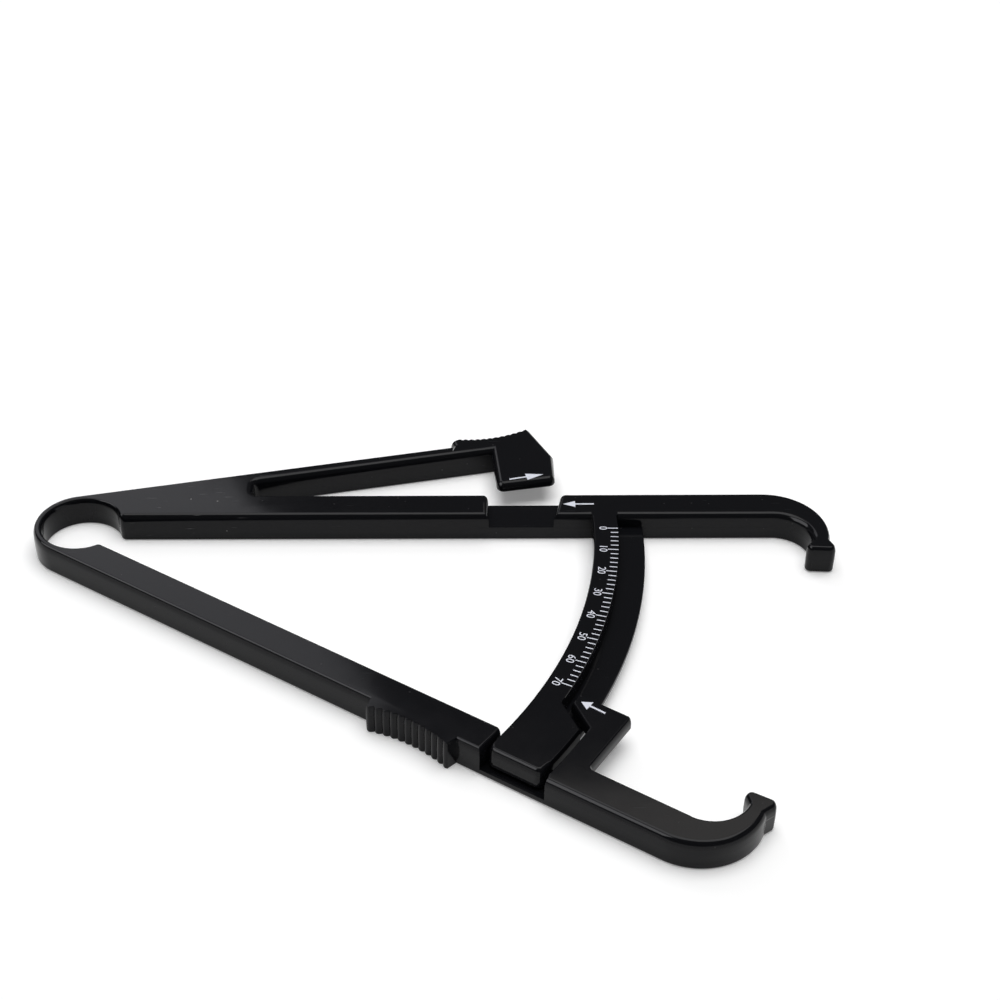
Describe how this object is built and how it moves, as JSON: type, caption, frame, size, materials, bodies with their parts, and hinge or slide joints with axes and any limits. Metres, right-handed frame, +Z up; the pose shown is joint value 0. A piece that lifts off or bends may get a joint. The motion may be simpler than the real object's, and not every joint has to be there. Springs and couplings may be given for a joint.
{
  "type": "skinfold caliper",
  "caption": "Springy moulded plastic skinfold caliper: a bow joins a fixed and a moving arm with hooked jaws, a thumb lever and a curved sliding scale.",
  "frame": {"origin": "middle of the part's footprint, on the flat underside that rests on the table", "axes": "+X along the fixed arm from the bow to its jaw, +Y from the moving arm towards the thumb lever, +Z up from the table through the printed side"},
  "size_m": [0.1694, 0.1264, 0.0066],
  "materials": {
    "black_plastic": "glossy black moulded plastic with rounded rims and light handling scratches",
    "white_print": "thin white printed ink of the tick marks, the plain numbers and the arrows"
  },
  "bodies": {
    "fixed_frame": {"bow_spring": "black_plastic", "upper_arm": "black_plastic", "notch_bridge": "black_plastic", "upper_jaw_arm": "black_plastic", "upper_jaw_foot": "black_plastic", "scale_band": "black_plastic", "guide_flange": "black_plastic", "end_stop_plate": "black_plastic"},
    "press_lever": {"press_blade": "black_plastic", "thumb_ribs": "black_plastic", "press_head": "black_plastic"},
    "moving_arm": {"lower_arm": "black_plastic", "finger_grip": "black_plastic", "channel_web": "black_plastic", "pointer_plate": "black_plastic", "lower_jaw_arm": "black_plastic", "lower_jaw_foot": "black_plastic"}
  },
  "joints": [
    {"name": "arm_squeeze", "type": "hinge", "parent": "fixed_frame", "child": "moving_arm", "pos_m": [-0.0746, 0.02858, 0.0033], "axis": [0, 0, 1], "range_deg": [-0.5, 27], "stiffness_Nm_per_rad": 0.8},
    {"name": "press_flex", "type": "hinge", "parent": "fixed_frame", "child": "press_lever", "pos_m": [-0.0381, 0.04532, 0.0033], "axis": [0, 0, 1], "range_deg": [-10, 0], "stiffness_Nm_per_rad": 0.3}
  ]
}
